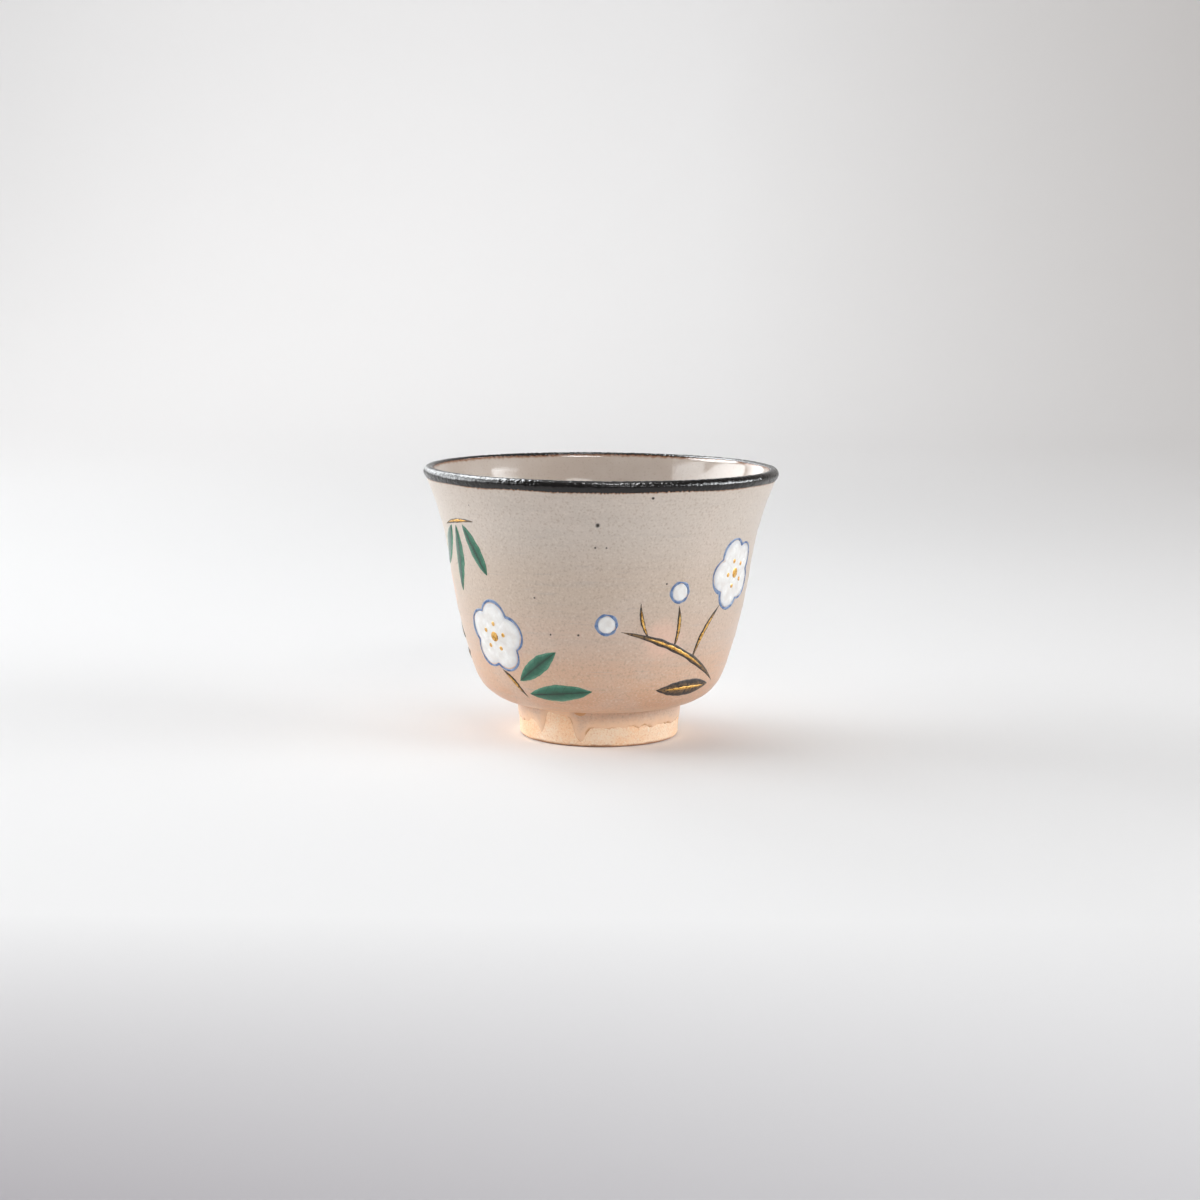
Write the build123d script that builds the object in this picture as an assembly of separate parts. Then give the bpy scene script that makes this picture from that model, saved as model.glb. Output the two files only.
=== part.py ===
"""Small stoneware sake cup, thrown and trimmed on a wheel, then glazed, banded and painted.

The clay is one piece, a flared bowl on a low foot ring. The fired coats on it are solids of their own:
a glaze inside, a glaze outside, a dark iron band over the lip, and raised enamel blossoms, leaves and
branches with gold on them. Frame: +Z up, origin on the axis where the foot stands, painted front
towards -Y. Sizes are in millimetres.

The wall's section is a chain of arcs that are tangent to each other: belly, wall, flare and lip. A coat
keeps the centres of those arcs and changes their radii by its thickness, so the glazes lie exactly on
the clay, the band on the glazes, and each enamel on the glaze with one even clearance.
"""

from build123d import *
import math
import os

# Finished size
rim_diameter = 63.0
cup_height = 48.2

# Fired coats
glaze_thickness = 0.25
band_thickness = 0.10
band_drop_outside = 1.87
band_drop_inside = 0.60
enamel_thickness = 0.15
gold_thickness = 0.06
enamel_clearance = 0.04

# Clay wall: the lip leans outwards from the vertical by its tilt
lip_thickness = 1.2
lip_tilt = 24.4
flare_radius = 56.2
wall_bow_radius = 100.4
wall_thickness = 2.4
belly_radius = 8.2
belly_centre_out = 14.29
belly_centre_up = 14.71
inner_turn_radius = 10.0
inner_bow_radius = 250.0
floor_height = 8.9

# Foot ring
foot_bottom_radius = 14.2
foot_top_radius = 14.45
foot_edge = 0.4
ring_width = 3.5
recess_depth = 4.4
recess_taper = 0.5

# Uneven lower edge of the outer glaze: its lowest drips, and the bare clay windows between them,
# each with its azimuth in degrees, half width, and top above the table
drip_height = 0.9
window_corner = 1.5
bare_windows = [
    (-30.0, 3.0, 5.6),
    (24.0, 8.0, 3.5),
    (-68.0, 5.4, 3.4),
    (75.0, 6.0, 3.1),
    (118.0, 6.2, 3.8),
    (171.0, 5.7, 3.2),
    (214.0, 6.0, 4.2),
    (256.0, 4.6, 3.0),
]

# Blossoms (azimuth, height, turn of the petals in degrees) and buds (azimuth, height)
petal_count = 5
petal_radius = 2.8
petal_reach = 3.3
outline_width = 0.5
heart_radius = 0.9
stamen_radius = 0.4
stamen_reach = 2.3
bud_radius = 1.5
blossoms = [
    (-47.0, 20.0, 12.0),
    (60.0, 31.0, 40.0),
    (178.0, 30.0, 18.0),
    (-112.0, 30.0, 0.0),
]
buds = [
    (2.6, 23.4),
    (30.9, 28.7),
    (152.0, 29.9),
    (204.0, 28.9),
]

# Leaves: azimuth and height of the stalk end, tilt in degrees, length
leaf_width = 3.0
green_sprays = [
    (-34.0, 10.2, 6.0, 11.5),
    (-37.5, 12.4, 36.0, 10.0),
    (-66.0, 38.8, 226.0, 11.0),
    (-62.0, 39.0, 262.0, 12.0),
    (-57.0, 39.3, 300.0, 10.0),
    (92.0, 20.5, 20.0, 11.0),
    (93.0, 18.0, -8.0, 11.0),
    (141.0, 11.6, 176.0, 11.0),
    (208.5, 20.9, 24.0, 10.0),
]
dark_sprays = [
    (-80.0, 18.0, 168.0, 10.0),
    (-79.0, 15.5, 194.0, 14.0),
    (59.0, 11.3, 180.0, 12.0),
    (170.0, 15.4, -14.0, 12.0),
    (204.0, 18.6, -12.0, 13.0),
]
vein_width = 0.5
vein_end_gap = 1.2

# Branch strokes: azimuth and height of the sketch's origin, start, end, and how far the two edges bow
branches = [
    (30.0, 17.5, (12.0, -6.0), (-9.9, 4.7), -2.3, -0.9),
    (30.0, 17.5, (4.8, -1.6), (10.2, 8.3), 1.3, 0.4),
    (30.0, 17.5, (0.5, 1.2), (0.5, 9.0), -0.9, -0.1),
    (30.0, 17.5, (-4.2, 2.9), (-6.6, 9.8), 0.9, 0.2),
    (178.0, 17.5, (-13.0, -5.0), (12.0, 3.0), 2.3, 0.8),
    (178.0, 17.5, (-7.1, -1.9), (-11.0, 10.2), 1.4, 0.6),
    (178.0, 17.5, (-1.0, 0.4), (-0.1, 6.8), 0.8, -0.1),
    (178.0, 17.5, (4.6, 1.9), (10.3, 9.5), -1.4, -0.6),
    (-112.0, 17.5, (2.4, -0.5), (0.5, 5.9), 0.9, 0.1),
    (-44.0, 12.0, (3.0, -2.6), (-1.3, 2.2), -0.9, -0.1),
    (-62.0, 38.0, (6.8, 2.0), (-5.0, 0.6), -0.1, -0.9),
]
gold_line_width = 0.45
gold_share = 0.62

# Lowest height that any enamel reaches
paint_low_edge = 8.6


def point_at(centre, radius, angle):
    """Point of a circle in the section, with its angle in degrees from straight outwards."""
    turn = math.radians(angle)
    return centre + Vector(math.cos(turn), math.sin(turn)) * radius


def arc_about(centre, start, end):
    """Arc of under half a circle between two points about a centre."""
    middle = (start - centre) + (end - centre)
    return ThreePointArc(start, centre + middle.normalized() * (start - centre).length, end)


def centre_between(low, low_distance, high, high_distance):
    """Point on the axis side of two centres at a known distance from each."""
    gap = high - low
    along = (low_distance**2 - high_distance**2 + gap.length**2) / (2 * gap.length)
    aside = math.sqrt(low_distance**2 - along**2)
    direction = gap.normalized()
    return low + direction * along + Vector(-direction.Y, direction.X) * aside


# Centres and radii of the bare clay's arcs, as (outwards, up)
lip_radius = lip_thickness / 2
lip_cover = lip_radius + glaze_thickness + band_thickness
lip_centre = Vector(rim_diameter / 2 - lip_cover, cup_height - lip_cover)
flare_centre = point_at(lip_centre, lip_radius + flare_radius, -lip_tilt)
inner_flare_radius = flare_radius + lip_thickness

belly_centre = Vector(belly_centre_out, belly_centre_up)
wall_centre = centre_between(
    belly_centre, wall_bow_radius - belly_radius, flare_centre, wall_bow_radius + flare_radius
)

inner_turn_out = belly_centre_out + belly_radius - wall_thickness - inner_turn_radius
inner_turn_centre = Vector(inner_turn_out, floor_height + inner_turn_radius)
inner_wall_centre = centre_between(
    inner_turn_centre,
    inner_bow_radius - inner_turn_radius,
    flare_centre,
    inner_bow_radius + inner_flare_radius,
)


def lip_crest(coat):
    """Highest point of the lip under a coat."""
    return point_at(lip_centre, lip_radius + coat, 90)


def outer_line(coat):
    """Edges of the outside from the foot's lower edge up to the crest of the lip, moved out by a coat."""
    foot_low = Vector(foot_bottom_radius + coat, foot_edge)
    foot_out = foot_top_radius + coat
    belly = belly_radius + coat
    belly_drop = math.sqrt(belly**2 - (foot_out - belly_centre_out) ** 2)
    foot_corner = Vector(foot_out, belly_centre_up - belly_drop)
    belly_end = belly_centre + (belly_centre - wall_centre).normalized() * belly
    flare_start = flare_centre + (wall_centre - flare_centre).normalized() * (flare_radius - coat)
    lip_out = point_at(lip_centre, lip_radius + coat, -lip_tilt)
    return [
        Line(foot_low, foot_corner),
        arc_about(belly_centre, foot_corner, belly_end),
        arc_about(wall_centre, belly_end, flare_start),
        arc_about(flare_centre, flare_start, lip_out),
        arc_about(lip_centre, lip_out, lip_crest(coat)),
    ]


def inner_line(coat):
    """Edges of the inside from the crest of the lip down to the middle of the floor, moved in by a coat."""
    lip_in = point_at(lip_centre, lip_radius + coat, 180 - lip_tilt)
    flare_end = flare_centre + (inner_wall_centre - flare_centre).normalized() * (inner_flare_radius + coat)
    turn = inner_turn_radius - coat
    turn_start = inner_turn_centre + (inner_turn_centre - inner_wall_centre).normalized() * turn
    turn_end = point_at(inner_turn_centre, turn, -90)
    return [
        arc_about(lip_centre, lip_crest(coat), lip_in),
        arc_about(flare_centre, lip_in, flare_end),
        arc_about(inner_wall_centre, flare_end, turn_start),
        arc_about(inner_turn_centre, turn_start, turn_end),
        Line(turn_end, (0, floor_height + coat)),
    ]


def face_inside(edges):
    """Flat face that a closed chain of edges bounds."""
    return make_face(Curve() + edges)


def outer_coat(low, high):
    """Half section of the layer outside the cup between two coat thicknesses."""
    crest = Line(lip_crest(low), lip_crest(high))
    foot = Line((foot_bottom_radius + low, foot_edge), (foot_bottom_radius + high, foot_edge))
    return face_inside([*outer_line(low), *outer_line(high), crest, foot])


def inner_coat(low, high):
    """Half section of the layer inside the cup between two coat thicknesses."""
    crest = Line(lip_crest(low), lip_crest(high))
    axis = Line((0, floor_height + low), (0, floor_height + high))
    return face_inside([*inner_line(low), *inner_line(high), crest, axis])


def heights(bottom, top):
    """Part of the half section between two heights."""
    return Pos(rim_diameter / 2, (bottom + top) / 2) * Rectangle(rim_diameter, top - bottom)


def turned(face):
    """Solid of a half section spun about the cup's axis."""
    return revolve(Plane.XZ * face, Axis.Z, 360)


def on_wall(azimuth, height):
    """Sketch plane through the axis that faces out at an azimuth, with its origin at a height."""
    turn = math.radians(azimuth)
    right = (math.cos(turn), math.sin(turn), 0)
    outwards = (math.sin(turn), -math.cos(turn), 0)
    return Plane(origin=(0, 0, height), x_dir=right, z_dir=outwards)


def fired(shape, azimuth, height, layer):
    """Painted shape carried straight out from the axis, kept where it passes through a layer."""
    return extrude(on_wall(azimuth, height) * shape, rim_diameter) & layer


def blade(start, end, first_bow, second_bow):
    """Pointed brush shape between two arcs that share their ends."""
    return face_inside([SagittaArc(start, end, first_bow), SagittaArc(start, end, second_bow)])


def leaf(tilt, length):
    """Pointed leaf that leans by its tilt from a stalk end at the origin."""
    return Rot(0, 0, tilt) * blade((0, 0), (length, 0), leaf_width / 2, -leaf_width / 2)


def vein(tilt, length):
    """Middle vein of a leaf, short of both its ends."""
    ends = (vein_end_gap, 0), (length - vein_end_gap, 0)
    return Rot(0, 0, tilt) * blade(*ends, vein_width / 2, -vein_width / 2)


def gold_line(start, end, first_bow, second_bow):
    """Gold line down the middle of a branch stroke, over the middle share of its length."""
    run = Vector(end) - Vector(start)
    bow = (first_bow + second_bow) / 2
    lift = run.normalized().rotate(Axis.Z, 90) * bow * (1 - gold_share**2)
    trim = run * ((1 - gold_share) / 2)
    kept_bow = bow * gold_share**2
    half = min(gold_line_width, abs(first_bow - second_bow) / 2) / 2
    return blade(Vector(start) + trim + lift, Vector(end) - trim + lift, kept_bow + half, kept_bow - half)


def ring_of(shape, distance, turn):
    """One copy of a shape for each petal, at a distance from the blossom's middle."""
    return PolarLocations(distance, petal_count, start_angle=turn) * shape


def petals(turn):
    """Blossom as one flat shape, round petals joined about its middle."""
    return Circle(petal_reach) + ring_of(Circle(petal_radius), petal_reach, turn)


def stamens(turn):
    """Gold heart of a blossom and one dot on each petal."""
    return Circle(heart_radius) + ring_of(Circle(stamen_radius), stamen_reach, turn)


def outline(shape):
    """Line of even width round a flat shape."""
    return offset(shape, outline_width) - shape


# Clay
ring_inside = foot_bottom_radius - ring_width
underside = Polyline(
    (0, floor_height),
    (0, recess_depth),
    (ring_inside - recess_taper, recess_depth),
    (ring_inside, 0),
    (foot_bottom_radius - foot_edge, 0),
    (foot_bottom_radius, foot_edge),
)
clay_body = turned(face_inside([*outer_line(0), *inner_line(0), underside]))

# Glazes and the iron band
banded = glaze_thickness + band_thickness
band_outside = outer_coat(glaze_thickness, banded) & heights(cup_height - band_drop_outside, cup_height)
band_inside = inner_coat(glaze_thickness, banded) & heights(cup_height - band_drop_inside, cup_height)
rim_band = turned(band_outside + band_inside)
inner_glaze = turned(inner_coat(0, glaze_thickness))
outer_glaze = turned(outer_coat(0, glaze_thickness) & heights(drip_height, cup_height))
glazed_foot = foot_top_radius + glaze_thickness
for azimuth, half_width, top in bare_windows:
    window = on_wall(azimuth, 0) * RectangleRounded(2 * half_width, 2 * top, window_corner)
    outer_glaze -= extrude(window, glazed_foot)

# Enamels on the outer glaze, and gold on the enamels
enamel_low = glaze_thickness + enamel_clearance
enamel_high = enamel_low + enamel_thickness
gold_low = enamel_high + enamel_clearance
paint_zone = heights(paint_low_edge, cup_height - band_drop_outside)
enamel = turned(outer_coat(enamel_low, enamel_high) & paint_zone)
gold = turned(outer_coat(gold_low, gold_low + gold_thickness) & paint_zone)

bud = Circle(bud_radius)
white_petals = [fired(petals(turn), *place, enamel) for *place, turn in blossoms]
white_petals += [fired(bud, *place, enamel) for place in buds]
blue_outlines = [fired(outline(petals(turn)), *place, enamel) for *place, turn in blossoms]
blue_outlines += [fired(outline(bud), *place, enamel) for place in buds]
gold_stamens = [fired(stamens(turn), *place, gold) for *place, turn in blossoms]

green_leaves = [fired(leaf(*shape), azimuth, height, enamel) for azimuth, height, *shape in green_sprays]
iron_leaves = [fired(leaf(*shape), azimuth, height, enamel) for azimuth, height, *shape in dark_sprays]
gold_veins = [fired(vein(*shape), azimuth, height, gold) for azimuth, height, *shape in dark_sprays]

iron_branches = [fired(blade(*stroke), azimuth, height, enamel) for azimuth, height, *stroke in branches]
gold_strokes = [fired(gold_line(*stroke), azimuth, height, gold) for azimuth, height, *stroke in branches]

nodes = {
    "clay_body": clay_body,
    "inner_glaze": inner_glaze,
    "outer_glaze": outer_glaze,
    "rim_band": rim_band,
    "white_petals": Part() + white_petals,
    "blue_outlines": Part() + blue_outlines,
    "gold_stamens": Part() + gold_stamens,
    "green_leaves": Part() + green_leaves,
    "iron_leaves": Part() + iron_leaves,
    "gold_veins": Part() + gold_veins,
    "iron_branches": Part() + iron_branches,
    "gold_strokes": Part() + gold_strokes,
}

os.makedirs("parts", exist_ok=True)
for name, solid in nodes.items():
    export_step(solid, f"parts/{name}.step")
    print(name, len(solid.solids()), "solids", round(solid.volume, 2), "mm3")
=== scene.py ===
# %% [markdown]
# # A painted sake cup
# The cup is stoneware that was thrown on a wheel, trimmed, glazed and fired, then painted with enamels and
# gold and fired again. This lesson builds its looks around a finished CAD model of it. Every surface here is
# worked out with numpy from the same arcs that shape the clay, so each coat lies where the CAD coat lies.

# %% Load the frame
import math

import bpy
import numpy as np
from mathutils import Matrix, Vector


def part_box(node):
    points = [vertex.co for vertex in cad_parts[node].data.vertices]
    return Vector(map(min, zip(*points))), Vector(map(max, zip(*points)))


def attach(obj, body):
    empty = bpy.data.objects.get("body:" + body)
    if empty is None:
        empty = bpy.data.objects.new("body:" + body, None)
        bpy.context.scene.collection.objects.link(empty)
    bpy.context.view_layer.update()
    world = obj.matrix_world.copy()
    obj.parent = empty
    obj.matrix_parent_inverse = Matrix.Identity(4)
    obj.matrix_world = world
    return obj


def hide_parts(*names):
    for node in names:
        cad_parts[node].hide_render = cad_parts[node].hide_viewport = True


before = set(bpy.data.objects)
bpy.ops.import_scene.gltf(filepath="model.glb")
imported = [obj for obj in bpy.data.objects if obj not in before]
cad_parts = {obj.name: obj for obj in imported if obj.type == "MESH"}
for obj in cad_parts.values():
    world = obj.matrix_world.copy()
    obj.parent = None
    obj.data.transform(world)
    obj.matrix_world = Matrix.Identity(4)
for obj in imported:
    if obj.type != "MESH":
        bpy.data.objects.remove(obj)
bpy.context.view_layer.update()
MM = 0.001

# %% [markdown]
# ## The camera
# The photograph was taken a little above the lip with a longish lens. The view could be turned by hand
# until it fits, but the lip and the foot are both seen as ellipses, and how round each one is gives the
# camera's height and distance. The camera leans by half a degree.

# %% Camera
CAMERA_PLACE = (0.0, -443.5 * MM, 85.4 * MM)
CAMERA_LOOKS_DOWN = math.radians(7.87)
CAMERA_LEAN = math.radians(0.52)

camera_data = bpy.data.cameras.new("camera")
camera_data.sensor_width = 24.0
camera_data.lens = 50.0
camera = bpy.data.objects.new("camera", camera_data)
camera.matrix_world = (
    Matrix.Translation(CAMERA_PLACE)
    @ Matrix.Rotation(math.pi / 2 - CAMERA_LOOKS_DOWN, 4, "X")
    @ Matrix.Rotation(CAMERA_LEAN, 4, "Z")
)
bpy.context.scene.collection.objects.link(camera)
bpy.context.scene.camera = camera
print("camera stands", CAMERA_PLACE)

# %% [markdown]
# ## The section of the clay
# A thrown wall is smooth, so its section is a chain of arcs that meet without a corner: lip, flare, wall
# and belly. The outside line runs from the crest of the lip down to the foot, and the inside line from the
# crest down to the middle of the floor. A drawn curve with a Screw modifier would spin one such surface. A
# table of distance, place and normal along each line gives them all, because a coat is a step along the
# normal.

# %% Arcs of the wall
rim_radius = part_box("rim_band")[1].x
cup_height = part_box("rim_band")[1].z
GLAZE = 0.25 * MM
BAND = 0.10 * MM
LIP_RADIUS = 0.6 * MM
LIP_TILT = math.radians(24.4)
FLARE_RADIUS = 56.2 * MM
WALL_BOW = 100.4 * MM
BELLY_RADIUS = 8.2 * MM
BELLY_CENTRE = np.array([14.29, 14.71]) * MM
FOOT_TOP = 14.45 * MM
FOOT_BOTTOM = 14.2 * MM
FOOT_EDGE = 0.4 * MM
WALL = 2.4 * MM
INNER_TURN = 10.0 * MM
INNER_BOW = 250.0 * MM
FLOOR = 8.9 * MM


def heading(vector):
    """Angle of a vector in the section, from straight outwards."""
    return math.atan2(vector[1], vector[0])


def arc(centre, radius, start, end, count=200):
    """Points of a circle's arc between two angles: the centre plus the radius turned through each angle."""
    angles = np.linspace(start, end, count)
    return centre + radius * np.column_stack([np.cos(angles), np.sin(angles)])


def centre_between(low, low_distance, high, high_distance):
    """Point on the axis side at a known distance from each of two centres, by the law of cosines."""
    gap = high - low
    apart = np.linalg.norm(gap)
    along = (low_distance**2 - high_distance**2 + apart**2) / (2 * apart)
    aside = math.sqrt(low_distance**2 - along**2)
    direction = gap / apart
    return low + direction * along + np.array([-direction[1], direction[0]]) * aside


lip_cover = LIP_RADIUS + GLAZE + BAND
lip_centre = np.array([rim_radius - lip_cover, cup_height - lip_cover])
lip_normal = np.array([math.cos(LIP_TILT), -math.sin(LIP_TILT)])
flare_centre = lip_centre + (LIP_RADIUS + FLARE_RADIUS) * lip_normal
wall_centre = centre_between(BELLY_CENTRE, WALL_BOW - BELLY_RADIUS, flare_centre, WALL_BOW + FLARE_RADIUS)
to_belly = heading(BELLY_CENTRE - wall_centre)
foot_angle = -math.acos((FOOT_TOP - BELLY_CENTRE[0]) / BELLY_RADIUS)
outside_points = np.vstack(
    [
        arc(lip_centre, LIP_RADIUS, math.pi / 2, -LIP_TILT),
        arc(flare_centre, FLARE_RADIUS, math.pi - LIP_TILT, heading(wall_centre - flare_centre)),
        arc(wall_centre, WALL_BOW, heading(flare_centre - wall_centre), to_belly),
        arc(BELLY_CENTRE, BELLY_RADIUS, to_belly, foot_angle),
        [[FOOT_BOTTOM, FOOT_EDGE]],
    ]
)

turn_centre = np.array([BELLY_CENTRE[0] + BELLY_RADIUS - WALL - INNER_TURN, FLOOR + INNER_TURN])
inner_flare = FLARE_RADIUS + 2 * LIP_RADIUS
inner_centre = centre_between(turn_centre, INNER_BOW - INNER_TURN, flare_centre, INNER_BOW + inner_flare)
to_turn = heading(turn_centre - inner_centre)
inside_points = np.vstack(
    [
        arc(lip_centre, LIP_RADIUS, math.pi / 2, math.pi - LIP_TILT),
        arc(flare_centre, inner_flare, math.pi - LIP_TILT, heading(inner_centre - flare_centre)),
        arc(inner_centre, INNER_BOW, heading(flare_centre - inner_centre), to_turn),
        arc(turn_centre, INNER_TURN, to_turn, -math.pi / 2),
        [[0.0, FLOOR]],
    ]
)
print("outside starts at", outside_points[0] / MM, "and ends at", outside_points[-1] / MM)

# %% Tables of the two lines
TABLE_STEP = 0.05 * MM
CORNER_BLUR = 0.3 * MM
LIP_LENGTH = math.pi * LIP_RADIUS


def wall_table(points, side):
    """Table of a line that starts at the lip's crest: distance along it, place, and the normal, which is the
    tangent turned a quarter turn to the air side. The points are respaced evenly, and past the lip they are
    blurred a little, which rounds the corners at the foot."""
    steps = np.linalg.norm(np.diff(points, axis=0), axis=1)
    distance = np.concatenate([[0.0], np.cumsum(steps)])
    even = np.linspace(0, distance[-1], round(distance[-1] / TABLE_STEP))
    sharp = np.column_stack([np.interp(even, distance, points[:, axis]) for axis in (0, 1)])
    reach = round(3 * CORNER_BLUR / TABLE_STEP)
    weights = np.exp(-0.5 * (np.arange(-reach, reach + 1) * TABLE_STEP / CORNER_BLUR) ** 2)
    weights /= weights.sum()
    padded = np.pad(sharp, ((reach, reach), (0, 0)), mode="reflect", reflect_type="odd")
    blurred = np.column_stack([np.convolve(padded[:, axis], weights, "valid") for axis in (0, 1)])
    place = np.where(even[:, None] > LIP_LENGTH, blurred, sharp)
    tangent = np.gradient(place, axis=0)
    tangent /= np.linalg.norm(tangent, axis=1)[:, None]
    normal = side * np.column_stack([-tangent[:, 1], tangent[:, 0]])
    return {"distance": even, "place": place, "normal": normal}


outside = wall_table(outside_points, 1)
inside = wall_table(inside_points, -1)


def coated(table, distance, coat):
    """Radius and height at a distance along a line, moved out along the normal by a coat."""
    at = [np.interp(distance, table["distance"], table["place"][:, axis]) for axis in (0, 1)]
    normal = [np.interp(distance, table["distance"], table["normal"][:, axis]) for axis in (0, 1)]
    return at[0] + coat * normal[0], at[1] + coat * normal[1]


def distance_at(table, height):
    """Distance along a line where it passes a height, below the lip."""
    return np.interp(-np.asarray(height), -table["place"][:, 1], table["distance"])


def spun(radius, height, azimuth):
    """Points at a radius, a height and an azimuth, which is 0 at the front and grows to the right."""
    return np.stack(np.broadcast_arrays(radius * np.sin(azimuth), -radius * np.cos(azimuth), height), axis=-1)


print("lines are", outside["distance"][-1] / MM, "and", inside["distance"][-1] / MM, "mm long")

# %% [markdown]
# ## From grids to meshes
# Every piece is a grid of points: rings of points that close on themselves. Either the last ring joins the
# first, as on a bracelet, or the first and last rings shrink to one point each, as on a lemon. Both make a
# closed surface with no seam. Values that a finish needs, such as how far a point is from an edge, are kept
# beside the points as attributes.

# %% Grid helpers


def shell(points, closed, **values):
    """Closed surface from rings of points. Its faces turn outwards when the air is on the left of the rings'
    direction and the columns run to the right."""
    rings, columns = points.shape[:2]
    index = np.arange(rings * columns).reshape(rings, columns)
    if not closed:
        index[0] = index[0, 0]
        index[-1] = index[-1, 0]
    low = index if closed else index[:-1]
    high = np.roll(index, -1, axis=0) if closed else index[1:]
    quads = np.stack([low, high, np.roll(high, -1, 1), np.roll(low, -1, 1)], axis=-1).reshape(-1, 4)
    flat = {name: np.broadcast_to(value, (rings, columns)).ravel() for name, value in values.items()}
    return {"points": points.reshape(-1, 3), "quads": quads, "values": flat}


def unique_corners(quad):
    """Corners of a face with a doubled corner left out."""
    return list(dict.fromkeys(quad))


def new_object(name, points, faces, material):
    """Smooth object at the origin from points and faces."""
    mesh = bpy.data.meshes.new(name)
    mesh.from_pydata(points.tolist(), [], faces)
    mesh.shade_smooth()
    mesh.materials.append(material)
    made = bpy.data.objects.new(name, mesh)
    bpy.context.scene.collection.objects.link(made)
    return made


def mesh_piece(name, shells, material, node):
    """One object from closed shells, riding on the cup's body in place of a CAD node."""
    counts = [len(part["points"]) for part in shells]
    starts = np.concatenate([[0], np.cumsum(counts)[:-1]])
    points = np.vstack([part["points"] for part in shells])
    quads = np.vstack([part["quads"] + start for part, start in zip(shells, starts)])
    used, renamed = np.unique(quads, return_inverse=True)
    faces = [unique_corners(quad) for quad in renamed.reshape(quads.shape).tolist()]
    piece = new_object(name, points[used], faces, material)
    for key in shells[0]["values"]:
        values = np.concatenate([part["values"][key] for part in shells])[used]
        kept = piece.data.attributes.new(key, "FLOAT", "POINT")
        kept.data.foreach_set("value", values.astype(np.float32))
    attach(piece, "root")
    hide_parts(node)
    print(name, len(piece.data.vertices), "points,", len(faces), "faces")


def around(columns):
    """Azimuths of evenly spaced columns round the cup."""
    return np.linspace(0, 2 * math.pi, columns, endpoint=False)


def wander(azimuth, first_wave, last_wave, seed):
    """Closed wobble of about unit size: a sum of waves round the cup, each with its own seeded phase."""
    waves = np.arange(first_wave, last_wave + 1)
    phases = np.random.default_rng(seed).uniform(0, 2 * math.pi, waves.size)
    return np.cos(np.multiply.outer(azimuth, waves) + phases).sum(-1) / math.sqrt(waves.size / 2)


def pebbled(rings, columns, ring_blur, column_blur, seed):
    """Random bumps of unit size on a grid that closes both ways, blurred by a number of grid steps."""
    grains = np.random.default_rng(seed).normal(size=(rings, columns))
    ring_wave = np.fft.fftfreq(rings)[:, None] * ring_blur
    column_wave = np.fft.fftfreq(columns)[None, :] * column_blur
    blur = np.exp(-2 * math.pi**2 * (ring_wave**2 + column_wave**2))
    smooth = np.fft.ifft2(np.fft.fft2(grains) * blur).real
    return smooth / smooth.std()


print("grid helpers are ready")

# %% [markdown]
# ## Nodes for the finishes
# All finishes are procedural. They read the piece's own Object coordinates in millimetres, or an attribute of
# its mesh, so a pattern stays on the piece and its scale is the real one. A finish is a first tone with other
# colours laid over it one after another, each by a share that comes from noise, specks or a distance.

# %% Finish helpers


def colour(red, green, blue):
    """Linear colour with alpha from the eight bit values that a paint program shows."""
    shares = np.array([red, green, blue]) / 255
    linear = np.where(shares <= 0.04045, shares / 12.92, ((shares + 0.055) / 1.055) ** 2.4)
    return (*linear.tolist(), 1.0)


def connect(tree, made, sockets):
    """Each socket of a node is given a value or linked to another node's output."""
    for key, value in sockets.items():
        if isinstance(value, bpy.types.NodeSocket):
            tree.links.new(value, made.inputs[key])
        else:
            made.inputs[key].default_value = value


def add_node(tree, kind, sockets, **settings):
    """Node with its settings made and its sockets connected."""
    made = tree.nodes.new(kind)
    for key, value in settings.items():
        setattr(made, key, value)
    connect(tree, made, sockets)
    return made


def new_finish(name):
    """Material and its node tree."""
    material = bpy.data.materials.new(name)
    material.use_nodes = True
    return material, material.node_tree


def finished(material, tone, roughness, bump, gloss=0.5, metal=0.0):
    """Material whose shader is given its colour, roughness, relief, gloss and share of metal."""
    tree = material.node_tree
    sockets = {"Base Color": tone, "Roughness": roughness, "Normal": bump}
    sockets |= {"Specular IOR Level": gloss, "Metallic": metal}
    connect(tree, tree.nodes["Principled BSDF"], sockets)
    return material


def millimetres(tree, stretch=(1.0, 1.0, 1.0)):
    """Object coordinates counted in millimetres, stretched along each axis."""
    place = add_node(tree, "ShaderNodeTexCoord", {}).outputs["Object"]
    scale = tuple(share / MM for share in stretch)
    return add_node(tree, "ShaderNodeMapping", {"Vector": place, "Scale": scale}).outputs["Vector"]


def height_of(tree):
    """Height above the table in millimetres."""
    return add_node(tree, "ShaderNodeSeparateXYZ", {"Vector": millimetres(tree)}).outputs["Z"]


def attribute(tree, name):
    """Value kept on the mesh under a name."""
    return add_node(tree, "ShaderNodeAttribute", {}, attribute_name=name).outputs["Fac"]


def noise(tree, per_mm, detail=3.0, stretch=(1.0, 1.0, 1.0)):
    """Cloudy value about one half, with so many clouds to the millimetre."""
    sockets = {"Vector": millimetres(tree, stretch), "Scale": per_mm, "Detail": detail}
    return add_node(tree, "ShaderNodeTexNoise", sockets).outputs["Fac"]


def span(tree, value, low, high, to_low=0.0, to_high=1.0, steps="SMOOTHSTEP"):
    """Value carried from one range to another and held at its ends, with soft steps or straight."""
    sockets = {"Value": value, "From Min": low, "From Max": high, "To Min": to_low, "To Max": to_high}
    return add_node(tree, "ShaderNodeMapRange", sockets, interpolation_type=steps).outputs["Result"]


def combined(tree, operation, first, second):
    """Two values put together by an arithmetic operation."""
    return add_node(tree, "ShaderNodeMath", {0: first, 1: second}, operation=operation).outputs["Value"]


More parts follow.
